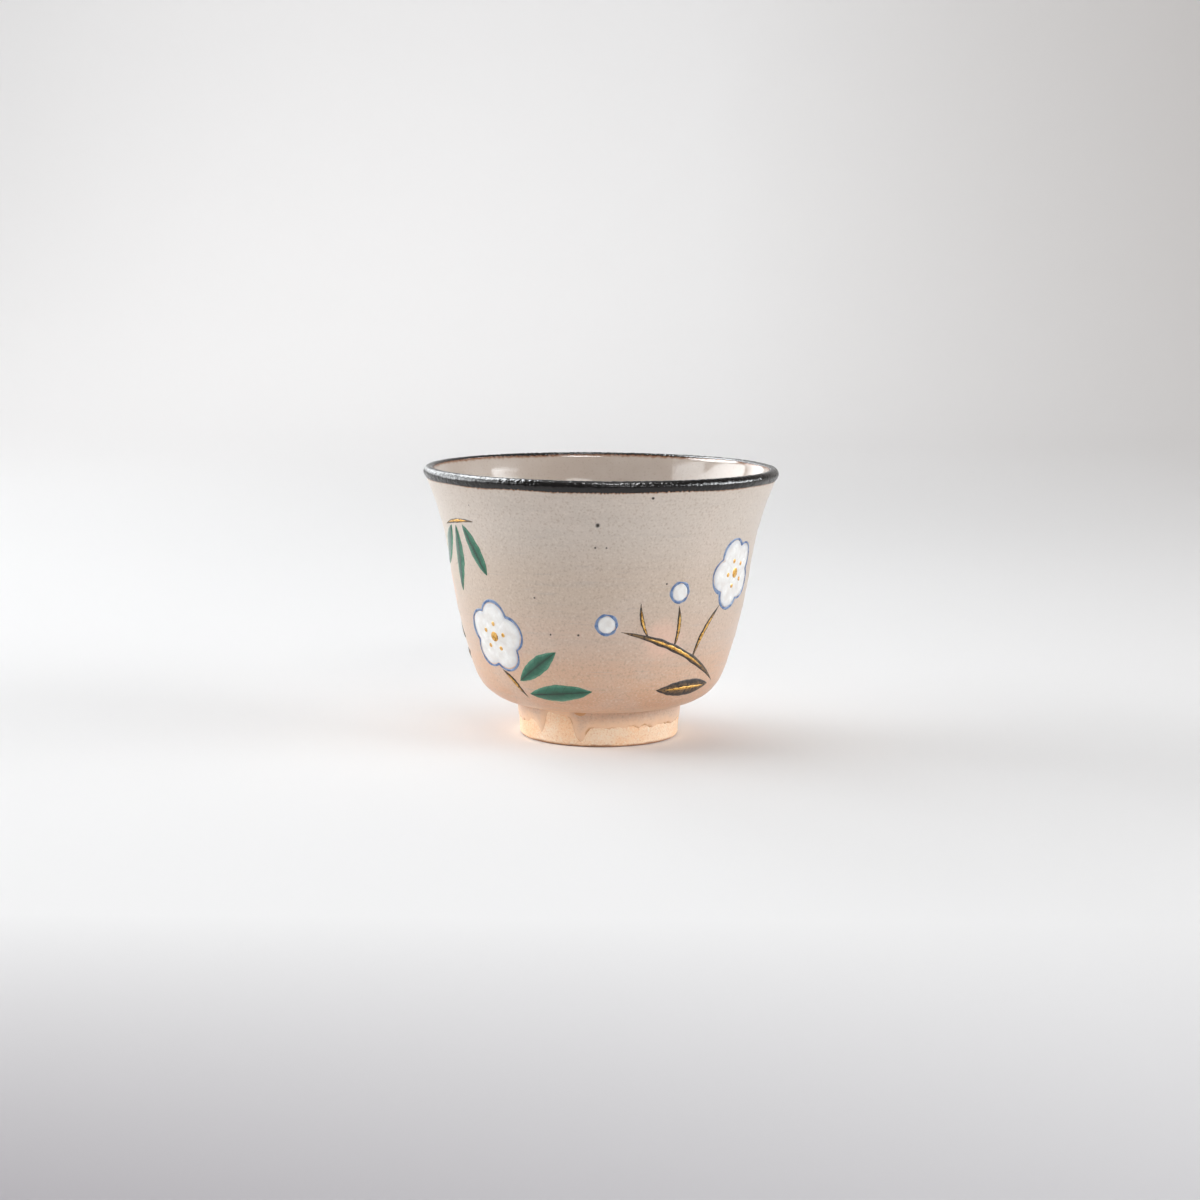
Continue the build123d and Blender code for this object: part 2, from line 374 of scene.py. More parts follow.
def roughened(tree, value, per_mm, reach, detail=3.0):
    """Value with clouds added up to a reach, so that an edge taken from it is ragged."""
    return combined(tree, "ADD", value, combined(tree, "MULTIPLY", noise(tree, per_mm, detail), reach))


def ramp(tree, value, stops):
    """Colours at places along a value from 0 to 1, with soft steps between."""
    made = add_node(tree, "ShaderNodeValToRGB", {"Fac": value})
    made.color_ramp.interpolation = "EASE"
    while len(made.color_ramp.elements) < len(stops):
        made.color_ramp.elements.new(0.5)
    for element, (place, tone) in zip(made.color_ramp.elements, stops):
        element.position = place
        element.color = colour(*tone)
    return made.outputs["Color"]


def blended(tree, share, first, second):
    """Second colour laid over the first by a share."""
    sockets = {"Factor": share, 6: first, 7: second}
    return add_node(tree, "ShaderNodeMix", sockets, data_type="RGBA").outputs[2]


def layered(tree, tone, layers):
    """Colours laid over a first tone one after another, each by its share."""
    for share, over in layers:
        tone = blended(tree, share, tone, colour(*over))
    return tone


def specks(tree, per_mm, share, radius, strength=1.0):
    """Dots scattered in cells, about so many to the millimetre. A share of the cells holds one."""
    cells = add_node(tree, "ShaderNodeTexVoronoi", {"Vector": millimetres(tree), "Scale": per_mm}).outputs
    chosen = add_node(tree, "ShaderNodeSeparateColor", {"Color": cells["Color"]}).outputs[0]
    size = span(tree, chosen, 1.0 - share, 1.0, 0.0, radius * per_mm)
    dots = span(tree, cells["Distance"], combined(tree, "MULTIPLY", size, 0.5), size, strength, 0.0)
    return combined(tree, "MULTIPLY", dots, combined(tree, "GREATER_THAN", chosen, 1.0 - share))


def relief(tree, height, depth_mm, strength=1.0):
    """Normal of fine relief that follows a value of 0 to 1."""
    sockets = {"Height": height, "Distance": depth_mm * MM, "Strength": strength}
    return add_node(tree, "ShaderNodeBump", sockets).outputs["Normal"]


print("finish helpers are ready")

# %% [markdown]
# ## Bare clay
# The foot ring was left without glaze so that the cup wouldn't stick to the kiln shelf. It shows the clay
# itself: peach, sandy and matt, with fine trimming lines round the foot and a browner edge where it stood.
# A picture of clay would blur close up, so one noise makes the sand grains and lifts them too.

# %% Finish of the clay


def clay_finish():
    """Peach clay: dark and pale sand grains, grog specks and a brown standing edge over soft clouds."""
    material, tree = new_finish("bare_clay")
    sand = noise(tree, 3.4, 4.0)
    clouds = noise(tree, 0.25)
    stood = combined(tree, "SUBTRACT", height_of(tree), clouds)
    tone = ramp(tree, clouds, [(0.32, (255, 213, 173)), (0.68, (254, 227, 198))])
    layers = [
        (span(tree, sand, 0.49, 0.3, 0.0, 0.42), (224, 162, 112)),
        (span(tree, sand, 0.53, 0.7, 0.0, 0.6), (255, 240, 222)),
        (specks(tree, 0.8, 0.1, 0.2), (186, 124, 78)),
        (span(tree, stood, 0.1, -0.4, 0.0, 0.8), (168, 106, 62)),
    ]
    return finished(material, layered(tree, tone, layers), 0.75, relief(tree, sand, 0.09), gloss=0.4)


clay = clay_finish()
print("made", clay.name)

# %% [markdown]
# ## The clay cup
# One lathe surface carries the whole clay body: floor, inner wall, lip, outer wall, foot and the hollow
# under the foot. Most of it hides under glaze. Where it shows, the trimming tool left fine rings on the
# foot and slow ones in the hollow, and the standing edge is worn round. A spun curve would make every ring
# a true circle. On a grid the rings can wander round the foot, as a tool's marks do.

# %% Shape of the clay
RECESS_DEPTH = 4.4 * MM
RECESS_LOW = 10.7 * MM
RECESS_TOP = 10.2 * MM
TRIM_DEPTH = 0.035 * MM
# Each trimming wave turns by one radian over its length.
FINE_TRIM = 0.14 * MM
TRIM_BEAT = 0.9 * MM
SLOW_TRIM = 0.45 * MM
FOOT_CORNER = 1.5 * MM
HIDDEN = 0.02 * MM
CLAY_COLUMNS = 288
WALL_RINGS = 60
FOOT_RINGS = 200
underside_points = np.array(
    [
        [FOOT_BOTTOM - FOOT_EDGE, 0.0],
        [RECESS_LOW, 0.0],
        [RECESS_TOP, RECESS_DEPTH],
        [0.0, RECESS_DEPTH],
    ]
)
clay_line = wall_table(np.vstack([outside_points, underside_points]), 1)


def fade(length, reach):
    """Share of a reach in millimetres that a length has covered, held between 0 and 1."""
    return np.clip(length / (reach * MM), 0, 1)


def clay_shell():
    """Closed lathe surface: the inside line outwards from the floor's middle to the crest, then the outside
    line down to the foot and in to the axis. Trimming rings are small waves along the normal of the foot."""
    azimuth = around(CLAY_COLUMNS)[None, :]
    corner = distance_at(outside, BELLY_CENTRE[1] - BELLY_RADIUS + FOOT_CORNER)
    end = clay_line["distance"][-1]
    wall_in = np.linspace(inside["distance"][-1], 0.0, WALL_RINGS)[:, None]
    wall_out = np.linspace(0.0, corner, WALL_RINGS)[1:, None]
    foot = np.linspace(corner, end, FOOT_RINGS)[1:, None]
    level = coated(clay_line, foot, 0.0)[1]
    fine = np.sin(foot / FINE_TRIM + 2 * np.sin(azimuth)) * np.sin(foot / TRIM_BEAT + azimuth)
    slow = np.sin(foot / SLOW_TRIM + azimuth)
    waves = TRIM_DEPTH * (0.7 * fine + 0.5 * slow) * fade(level - 0.2 * MM, 0.4) * fade(end - foot, 3)
    parts = [
        coated(inside, wall_in, -HIDDEN + 0 * azimuth),
        coated(clay_line, wall_out, -HIDDEN + 0 * azimuth),
        coated(clay_line, foot, waves),
    ]
    radius = np.vstack([part[0] for part in parts])
    height = np.maximum(np.vstack([part[1] for part in parts]), 0.0)
    return shell(spun(radius, height, azimuth), closed=False)


mesh_piece("clay_cup", [clay_shell()], clay, "clay_body")

# %% [markdown]
# ## Edges of the coats
# Two edges show how the coats behaved in the kiln. The iron glaze on the lip ran a little, so its edges are
# ragged, and it stained the glaze beside it. The outer glaze was wiped off the foot in patches, and ran
# down in drips between them. Both could be drawn by hand, point by point. A base line plus waves with
# seeded phases closes round the cup without a seam, and is the same each time.

# %% Edge lines
BAND_DROP_OUTSIDE = 1.87 * MM
BAND_DROP_INSIDE = 0.60 * MM
DRIP = 0.9 * MM
LOWEST_EDGE = 0.5 * MM
WINDOW_CORNER = 1.5 * MM
WINDOW_WAVES = 42
EDGE_COLUMNS = 1440
# Size in millimetres, first and last wave round the foot, and seed.
EDGE_WOBBLES = ((0.16, 2, 12, 30), (0.1, 13, 40, 31), (0.04, 50, 130, 32))
# Azimuth in degrees, then half width and top in millimetres.
BARE_WINDOWS = (
    (-30, 3.0, 5.6),
    (24, 8.0, 3.5),
    (-68, 5.4, 3.4),
    (75, 6.0, 3.1),
    (118, 6.2, 3.8),
    (171, 5.7, 3.2),
    (214, 6.0, 4.2),
    (256, 4.6, 3.0),
)


def band_edge_outside(azimuth):
    """Distance down the outside line to the band's edge: slow wander, quick teeth and a few longer runs."""
    slow = 0.05 * wander(azimuth, 2, 14, 11)
    teeth = 0.05 * wander(azimuth, 120, 420, 12)
    runs = 0.14 * np.clip(wander(azimuth, 20, 60, 13) - 1.2, 0.0, None)
    return distance_at(outside, cup_height - BAND_DROP_OUTSIDE) + (slow + teeth + runs) * MM


def band_edge_inside(azimuth):
    """Distance down the inside line to the band's edge, with finer teeth."""
    slow = 0.03 * wander(azimuth, 2, 12, 21)
    teeth = 0.03 * wander(azimuth, 80, 260, 22)
    return distance_at(inside, cup_height - BAND_DROP_INSIDE) + (slow + teeth) * MM


def smoothed(values, last_wave):
    """Values round a closed line, with the waves past a number of them damped away."""
    waves = np.fft.rfftfreq(values.size, 1 / values.size)
    return np.fft.irfft(np.fft.rfft(values) * np.exp(-((waves / last_wave) ** 2)), values.size)


def glaze_edge(azimuth):
    """Height of the outer glaze's lower edge: the drip line, or the top of the highest bare window, which is
    a rectangle with round corners. It is smoothed round the foot and given a small wander."""
    fine = around(EDGE_COLUMNS)
    height = np.full(fine.shape, DRIP)
    for place, half_width, top in BARE_WINDOWS:
        turn = fine - math.radians(place)
        sideways = np.where(np.cos(turn) > 0, FOOT_TOP * np.abs(np.sin(turn)), FOOT_TOP)
        over = np.clip(sideways - half_width * MM + WINDOW_CORNER, 0, WINDOW_CORNER)
        rounded = top * MM - WINDOW_CORNER + np.sqrt(WINDOW_CORNER**2 - over**2)
        height = np.maximum(height, np.where(sideways < half_width * MM, rounded, DRIP))
    wobble = sum(size * wander(fine, *waves) for size, *waves in EDGE_WOBBLES)
    height = smoothed(height, WINDOW_WAVES) + wobble * MM
    return np.interp(azimuth, fine, np.maximum(height, LOWEST_EDGE), period=2 * math.pi)


probe = around(EDGE_COLUMNS)
print("band outside ends", band_edge_outside(probe).mean() / MM, "mm from the crest")
print("band inside ends", band_edge_inside(probe).mean() / MM, "mm from the crest")
print("glaze edge from", glaze_edge(probe).min() / MM, "to", glaze_edge(probe).max() / MM, "mm high")

# %% [markdown]
# ## Outer glaze
# The body glaze is a thin satin coat over warm clay. It is grey where it is thick and pink or peach where
# it is thin, with iron specks that bled through from the clay, a blush where the flame touched it, and
# faint streaks from the throwing. Near the band it is stained orange. A painted picture of it would need
# unwrapping. Instead a height ramp sets the main tone, and each of these marks is one layer over it that
# can be changed by itself.

# %% Finish of the outer glaze
# Azimuth in degrees, then height and reach in millimetres.
BLUSHES = ((26, 20.3, 5.0), (-122, 22.0, 7.0), (158, 15.0, 6.0), (-85, 27.0, 5.0), (104, 25.5, 4.0))
IRON_SPOTS = (
    (-1.0, 40.7, 0.55),
    (-1.8, 36.8, 0.28),
    (2.1, 36.8, 0.24),
    (25.0, 30.3, 0.26),
    (-25.0, 27.7, 0.26),
    (-19.5, 21.4, 0.26),
    (-8.3, 21.5, 0.3),
    (16.5, 45.4, 0.36),
    (88.0, 39.0, 0.4),
    (131.0, 35.0, 0.5),
    (196.0, 41.5, 0.45),
    (238.0, 24.0, 0.4),
)
# Share of the cup's height, and colour.
TONES_BY_HEIGHT = (
    (0.07, (226, 192, 166)),
    (0.17, (214, 168, 136)),
    (0.28, (219, 180, 152)),
    (0.42, (213, 187, 168)),
    (0.58, (207, 188, 171)),
    (0.85, (209, 197, 186)),
)


def nearness(tree, azimuth, height, reach, ragged, strength=1.0):
    """Strength at a place on the outer glaze, falling to zero at a reach from it, with a ragged edge. The
    place is an azimuth in degrees and a height in millimetres."""
    radius, level = coated(outside, distance_at(outside, height * MM), GLAZE)
    place = tuple(float(number) / MM for number in spun(radius, level, math.radians(azimuth)))
    sockets = {0: millimetres(tree), 1: place}
    away = add_node(tree, "ShaderNodeVectorMath", sockets, operation="DISTANCE").outputs["Value"]
    away = roughened(tree, away, 0.9 / reach + 0.3, ragged * reach)
    return span(tree, away, reach * (1 + ragged / 2), reach * (0.3 + ragged / 2), 0.0, strength)


def outside_glaze_finish():
    """Satin glaze: clouds, streaks, scratches, grain, blushes, specks, iron spots, stain under the band, and
    a thin lower edge with brown smudges, over the tones by height."""
    material, tree = new_finish("outside_glaze")
    grain = noise(tree, 2.6, 4.0)
    streaks = noise(tree, 1.0, 3.0, (0.05, 0.05, 0.9))
    scratches = noise(tree, 1.0, 2.0, (0.14, 0.14, 3.2))
    stain = roughened(tree, attribute(tree, "band_gap"), 1.6, 0.5)
    thin = roughened(tree, attribute(tree, "edge_gap"), 0.7, 1.4)
    smudge = roughened(tree, attribute(tree, "edge_gap"), 0.42, 2.2, 5.0)
    tone = ramp(tree, combined(tree, "DIVIDE", height_of(tree), cup_height / MM), TONES_BY_HEIGHT)
    layers = [
        (span(tree, noise(tree, 0.12), 0.45, 0.75, 0.0, 0.35), (216, 200, 188)),
        (span(tree, streaks, 0.5, 0.72, 0.0, 0.2), (190, 178, 168)),
        (span(tree, scratches, 0.6, 0.75, 0.0, 0.3), (184, 174, 168)),
        (span(tree, grain, 0.48, 0.3, 0.0, 0.42), (168, 144, 124)),
        (span(tree, grain, 0.55, 0.7, 0.0, 0.35), (232, 220, 208)),
        *((nearness(tree, *blush, 0.6, 0.45), (248, 202, 180)) for blush in BLUSHES),
        (specks(tree, 0.4, 0.12, 0.2, 0.8), (84, 60, 44)),
        (specks(tree, 1.1, 0.1, 0.1, 0.3), (122, 94, 72)),
        *((nearness(tree, *spot, 0.7), (40, 30, 24)) for spot in IRON_SPOTS),
        (span(tree, stain, 0.5, 0.2, 0.0, 0.85), (156, 100, 52)),
        (span(tree, thin, 2.9, 0.7, 0.0, 0.85), (245, 204, 168)),
        (span(tree, smudge, 1.5, 0.95, 0.0, 0.85), (196, 138, 84)),
    ]
    roughness = span(tree, grain, 0.3, 0.7, 0.28, 0.4)
    return finished(material, layered(tree, tone, layers), roughness, relief(tree, grain, 0.02, 0.3))


outside_glaze = outside_glaze_finish()
print("made", outside_glaze.name)

# %% [markdown]
# ## Shape of the outer glaze
# The coat follows the wall at a quarter of a millimetre, with the soft rings that throwing left under it. A
# plain Solidify modifier would make it even all over, but on the foot it thins out over a millimetre or
# two. So its thickness is worked out at each point, and the grid's last rows follow its edge line. Each
# point keeps its distance from that edge and from the band for the finish.

# %% Outer glaze
GLAZE_COLUMNS = 640
GLAZE_RINGS = 84
EDGE_RINGS = 45
NEAR_COLUMNS = 30
FOLD_HEIGHT = 8.0 * MM
SUNK = 0.06 * MM
THIN_OUT = 0.9 * MM
POOLED = 0.02 * MM
EDGE_DIP = 0.06 * MM
EDGE_DIP_REACH = 0.08 * MM
# Length in millimetres, turns round the cup, and depth in millimetres.
THROWING_WAVES = ((1.7, 1, 0.010), (2.9, -1, 0.014), (5.3, 2, 0.020))


def throwing(distance, azimuth):
    """Height of the throwing rings: waves along the wall that climb round it as a spiral."""
    rings = [
        depth * np.sin(2 * math.pi * distance / (length * MM) + turns * azimuth)
        for length, turns, depth in THROWING_WAVES
    ]
    return sum(rings) * MM


def gap_to_edge(distance, edge, column_step):
    """Distance within the surface to the nearest point of the edge line, looked for in the columns nearby."""
    shifts = range(-NEAR_COLUMNS, NEAR_COLUMNS + 1)
    gaps = [np.hypot(shift * column_step, np.roll(edge, shift) - distance) for shift in shifts]
    return np.min(gaps, axis=0)


def outer_glaze_shell():
    """Grid down the outside to the edge line and back up under the skin of the clay. The coat thins out
    towards its edge, which dips into the clay, and it is a little thicker low on the wall."""
    azimuth = around(GLAZE_COLUMNS)[None, :]
    edge = distance_at(outside, glaze_edge(azimuth))
    fold = distance_at(outside, FOLD_HEIGHT)
    upper = np.linspace(0, fold, GLAZE_RINGS)[:, None] + 0 * azimuth
    share = 1 - (1 - np.linspace(0, 1, EDGE_RINGS)[1:, None]) ** 2
    distance = np.vstack([upper, fold + share * (edge - fold)])
    gap = gap_to_edge(distance, edge, FOOT_TOP * 2 * math.pi / GLAZE_COLUMNS)
    calm = fade(gap, 2) * fade(distance - 2 * MM, 4)
    body = GLAZE * (1 - np.exp(-gap / THIN_OUT)) + throwing(distance, azimuth) * calm
    coat = body + POOLED * fade(distance, 9) - EDGE_DIP * np.exp(-gap / EDGE_DIP_REACH)
    back = distance[::-7]
    every_distance = np.vstack([distance, back])
    radius, height = coated(outside, every_distance, np.vstack([coat, 0 * back - SUNK]))
    every_gap = np.vstack([gap, 0 * back]) / MM
    band_gap = (every_distance - band_edge_outside(azimuth)) / MM
    return shell(spun(radius, height, azimuth), closed=True, edge_gap=every_gap, band_gap=band_gap)


mesh_piece("outer_coat", [outer_glaze_shell()], outside_glaze, "outer_glaze")

# %% [markdown]
# ## Inner glaze
# Inside, the same glaze is glossier. It shows the window as soft patches, and slow spiral rings from the
# potter's fingers. The clay could wear this finish itself, but a coat of its own can have rings and keep
# its distance from the band. It is one lathe surface from the floor's middle to the crest, closed
# underneath.

# %% Inner glaze
INNER_COLUMNS = 360
INNER_RINGS = 110
INNER_THROWING = 0.4


def inside_glaze_finish():
    """Glossy beige glaze with clouds, fine grain, a few specks and a warm stain beside the band."""
    material, tree = new_finish("inside_glaze")
    grain = noise(tree, 2.6)
    stain = roughened(tree, attribute(tree, "band_gap"), 1.4, 0.5)
    tone = ramp(tree, noise(tree, 0.1), [(0.3, (201, 186, 174)), (0.7, (211, 199, 189))])
    layers = [
        (span(tree, grain, 0.45, 0.3, 0.0, 0.3), (176, 156, 138)),
        (specks(tree, 0.35, 0.15, 0.15, 0.7), (100, 74, 56)),
        (span(tree, stain, 0.75, 0.25, 0.0, 0.85), (146, 92, 50)),
    ]
    roughness = span(tree, grain, 0.3, 0.7, 0.06, 0.12)
    waves = relief(tree, noise(tree, 0.4, 2.0), 0.05, 0.4)
    return finished(material, layered(tree, tone, layers), roughness, waves)


def inner_glaze_shell():
    """Grid from the floor's middle up the inside to the crest, and back down under the skin of the clay."""
    azimuth = around(INNER_COLUMNS)[None, :]
    length = inside["distance"][-1]
    distance = np.linspace(length, 0, INNER_RINGS)[:, None] + 0 * azimuth
    calm = fade(length - distance, 6) * fade(distance, 3)
    coat = GLAZE + INNER_THROWING * throwing(distance, azimuth) * calm
    back = distance[::-7].copy()
    back[-1] = length
    every_distance = np.vstack([distance, back])
    radius, height = coated(inside, every_distance, np.vstack([coat, 0 * back - SUNK]))
    band_gap = (every_distance - band_edge_inside(azimuth)) / MM
    return shell(spun(radius, height, azimuth), closed=False, band_gap=band_gap)


mesh_piece("inner_coat", [inner_glaze_shell()], inside_glaze_finish(), "inner_glaze")

# %% [markdown]
# ## Iron band
# The band is nearly black, glassy and finely pebbled, so a soft lamp breaks up on it into sparkles. Bump in
# the finish would leave the lip's outline smooth, so the pebbles are real relief: seeded noise on the grid,
# along the normal. The coat drew back a little from the outer shoulder of the lip, which is flatter there,
# and it thins to a brown, ragged edge.

# %% Iron band
BAND_COLUMNS = 2000
BAND_RINGS = 32
BAND_SWELL = 0.4
PEBBLE_HEIGHT = 0.018 * MM
SHOULDER_PLACE = 0.63 * MM
SHOULDER_WIDTH = 0.28 * MM
SHOULDER_DIP = 0.055 * MM
BAND_EDGE_DIP = 0.03 * MM
THINNEST_BAND = 0.015 * MM


def iron_glaze_finish():
    """Glassy black brown, browner where it thins at its edges, with fine relief and uneven gloss."""
    material, tree = new_finish("iron_glaze")
    grain = noise(tree, 2.6, 2.0)
    edge = roughened(tree, attribute(tree, "edge_gap"), 2.2, 0.3)
    tone = ramp(tree, grain, [(0.35, (8, 6, 6)), (0.7, (20, 14, 12))])
    tone = layered(tree, tone, [(span(tree, edge, 0.3, 0.12), (112, 66, 32))])
    return finished(material, tone, span(tree, grain, 0.3, 0.7, 0.1, 0.2), relief(tree, grain, 0.06))


def band_shell():
    """Grid over the lip from the inner edge to the outer one, and back inside the glaze under it. Distance is
    counted from the crest, below zero on the inside. The coat swells from its edges as a quarter circle."""
    azimuth = around(BAND_COLUMNS)[None, :]
    start = -band_edge_inside(azimuth)
    end = band_edge_outside(azimuth)
    share = np.linspace(0, 1, BAND_RINGS)[:, None]
    share = 0.5 * share + 0.5 * (0.5 - 0.5 * np.cos(math.pi * share))
    distance = start + share * (end - start)
    gap = np.minimum(share, 1 - share) * (end - start)
    swell = np.sqrt(1 - (1 - fade(gap, BAND_SWELL)) ** 2)
    pebbles = pebbled(BAND_RINGS, BAND_COLUMNS, 1.3, 1.5, 41) * fade(gap, 0.3)
    shoulder = SHOULDER_DIP * np.exp(-(((distance - SHOULDER_PLACE) / SHOULDER_WIDTH) ** 2))
    coat = GLAZE + BAND * swell - BAND_EDGE_DIP * (1 - swell) - shoulder + PEBBLE_HEIGHT * pebbles
    coat = np.where(gap > BAND_SWELL * MM, np.maximum(coat, GLAZE + THINNEST_BAND), coat)
    back = distance[::-6]
    distance = np.vstack([distance, back])
    coat = np.vstack([coat, GLAZE - SUNK + 0 * back])
    gap = np.vstack([gap, 0 * back]) / MM
    within = coated(inside, -distance, coat)
    without = coated(outside, distance, coat)
    radius, height = (np.where(distance < 0, low, high) for low, high in zip(within, without))
    return shell(spun(radius, height, azimuth), closed=True, edge_gap=gap)


mesh_piece("lip_band", [band_shell()], iron_glaze_finish(), "rim_band")

# %% [markdown]
# ## Painting on the wall
# The enamels were laid on with a brush and stand proud of the glaze as shallow pillows. A Shrinkwrap
# modifier could lay flat shapes on the wall, but it gives them no thickness that runs out at the rim. So
# each is drawn flat, as on paper, and a formula carries it straight out from the axis to the wall and lifts
# it. A brush stroke is the space between two arcs that share their ends, and a blossom is a domed pad with
# a lobed outline. Both sink a little into the glaze.

# %% Brush shapes
ENAMEL_LOW = GLAZE - 0.02 * MM
ENAMEL_HIGH = GLAZE + 0.17 * MM
GOLD_LOW = ENAMEL_HIGH - 0.03 * MM
GOLD_HIGH = ENAMEL_HIGH + 0.08 * MM
SINK = 0.08 * MM
STROKE_RINGS = 56
STROKE_COLUMNS = 20
PAD_TOP_RINGS = 22
PAD_UNDER_RINGS = 4
PAD_COLUMNS = 160
DOT_COLUMNS = 56
enamel_coats = (ENAMEL_LOW, ENAMEL_HIGH)
gold_coats = (GOLD_LOW, GOLD_HIGH)


def leaning(degrees):
    """Direction on the flat drawing at an angle from rightwards."""
    return np.array([math.cos(math.radians(degrees)), math.sin(math.radians(degrees))])


def on_wall(azimuth, height, sideways, up, coat):
    """Point of a flat drawing carried straight out from the axis to the outside of a coat."""
    turn = math.radians(azimuth)
    radius, level = coated(outside, distance_at(outside, height + up), coat)
    outwards = np.sqrt(radius**2 - sideways**2)
    x = sideways * math.cos(turn) + outwards * math.sin(turn)
    y = sideways * math.sin(turn) - outwards * math.cos(turn)
    return np.stack(np.broadcast_arrays(x, y, level), axis=-1)


def bowed(share, length, bow):
    """Height of an arc over its chord at a share of the chord: the circle through both ends and the bow."""
    radius = (bow**2 + length**2 / 4) / (2 * abs(bow))
    return math.copysign(1, bow) * (np.sqrt(radius**2 - (share - 0.5) ** 2 * length**2) - radius + abs(bow))


def stroke(azimuth, height, start, end, bows, coats, unsteady, seed):
    """Pillow between two arcs from a start to an end. The ring turns from its right edge over the top to its
    left edge and back underneath. Its thickness is a rounded arch that runs out at both ends."""
    start, end = np.array(start) * MM, np.array(end) * MM
    length = np.linalg.norm(end - start)
    direction = (end - start) / length
    share = (0.5 - 0.5 * np.cos(np.linspace(0, math.pi, STROKE_RINGS)))[:, None]
    first, second = (bowed(share, length, bow * MM) for bow in bows)
    half = np.abs(first - second) / 2
    half = half * (1 + unsteady * wander(share * 2.4, 3, 24, seed))
    turn = around(STROKE_COLUMNS)[None, :]
    aside = (first + second) / 2 - half * np.cos(turn)
    sideways = start[0] + direction[0] * share * length - direction[1] * aside
    up = start[1] + direction[1] * share * length + direction[0] * aside
    low, high = coats
    fullness = fade(half, 0.5) ** 0.5
    arch = np.abs(np.sin(turn)) ** 0.7
    coat = np.where(np.sin(turn) > 0, low + (high - low) * fullness * arch, low - SINK * fullness * arch)
    points = on_wall(azimuth, height * MM, sideways, up, coat)
    return shell(points, closed=False, across=-np.cos(turn), along=share * length / MM)


def pad(azimuth, height, reach, coats, middle=(0, 0), groove=0.0, columns=PAD_COLUMNS):
    """Domed pad inside an outline given as a reach for each direction. The top falls off with the fourth
    power of the share of the reach, less any groove, and the underside is a shallow bowl."""
    turn = around(columns)[None, :]
    top = np.linspace(0, 1, PAD_TOP_RINGS)[:, None] ** 0.8
    under = np.linspace(1, 0, PAD_UNDER_RINGS + 1)[1:, None]
    share = np.vstack([top, under])
    low, high = coats
    dome = low + (high - low) * np.sqrt(1 - top**4) - groove * top * (1 - top**6)
    coat = np.vstack([dome + 0 * turn, low - SINK * (1 - under**2) + 0 * turn])
    sideways = middle[0] * MM + share * reach * np.cos(turn)
    up = middle[1] * MM + share * reach * np.sin(turn)
    return shell(on_wall(azimuth, height * MM, sideways, up, coat), closed=False, across=share)


pad_points = (PAD_TOP_RINGS + PAD_UNDER_RINGS) * PAD_COLUMNS
print("a stroke has", STROKE_RINGS * STROKE_COLUMNS, "points and a pad", pad_points)

# %% [markdown]
# ## Blossoms and buds
# White enamel lies in five round petals, thin at the rim and grooved between petals. A thin blue line goes
# round each blossom, and a gold heart with five dots is its middle. Five discs could be joined with a
# Boolean modifier, but that leaves uneven faces in the notches. Here the petal outline is the far side of a
# circle that stands off the blossom's middle, so its reach follows from the law of cosines, and the line is
# a half round bead set off along the outline's normal.

# %% Blossom shapes
PETALS = 5
PETAL_RADIUS = 2.8 * MM
PETAL_REACH = 3.3 * MM
PETAL_WAVES = 34
GROOVE_DEPTH = 0.09 * MM
GROOVE_HALF = 0.09
BUD_RADIUS = 1.5 * MM
OUTLINE_WIDTH = 0.5 * MM
OUTLINE_RINGS = 14
HEART_RADIUS = 0.9 * MM
STAMEN_RADIUS = 0.4 * MM
STAMEN_REACH = 2.3
# Azimuth in degrees, height in millimetres and, for a blossom, its turn in degrees.
BLOSSOMS = ((-47, 20, 12), (60, 31, 40), (178, 30, 18), (-112, 30, 0))
BUDS = ((2.6, 23.4), (30.9, 28.7), (152, 29.9), (204, 28.9))


def from_petal(angle, turn):
    """Angle to the middle of the nearest petal."""
    step = 2 * math.pi / PETALS
    return np.abs((angle - math.radians(turn) + step / 2) % step - step / 2)


def petal_reach(angle, turn):
    """Reach of the blossom in a direction, with the notches rounded."""
    away = from_petal(angle, turn)
    reach = PETAL_REACH * np.cos(away) + np.sqrt(PETAL_RADIUS**2 - (PETAL_REACH * np.sin(away)) ** 2)
    return smoothed(reach, PETAL_WAVES)


def petal_groove(angle, turn):
    """Depth of the valley between two petals in a direction."""
    valley = math.pi / PETALS - from_petal(angle, turn)
    return GROOVE_DEPTH * np.exp(-((valley / GROOVE_HALF) ** 2))


def outline_bead(azimuth, height, reach, seed):
    """Half round line round an outline: its ring turns from the inner side over the top to the outer side."""
    angle = around(reach.size)
    line = np.column_stack([reach * np.cos(angle), reach * np.sin(angle)])
    along = np.roll(line, -1, axis=0) - np.roll(line, 1, axis=0)
    along /= np.linalg.norm(along, axis=1)[:, None]
    width = OUTLINE_WIDTH * (1 + 0.22 * wander(angle, 1, 9, seed))
    turn = around(OUTLINE_RINGS)[:, None]
    off = OUTLINE_WIDTH * 0.45 - width / 2 * np.cos(turn)
    sideways = line[:, 0] + off * along[:, 1]
    up = line[:, 1] - off * along[:, 0]
    rise = (ENAMEL_HIGH - ENAMEL_LOW) * (0.75 + 0.12 * wander(angle, 2, 12, seed + 1))
    coat = ENAMEL_LOW + np.where(np.sin(turn) > 0, rise, SINK) * np.sin(turn)
    return shell(on_wall(azimuth, height * MM, sideways, up, coat), closed=True, across=-np.cos(turn))


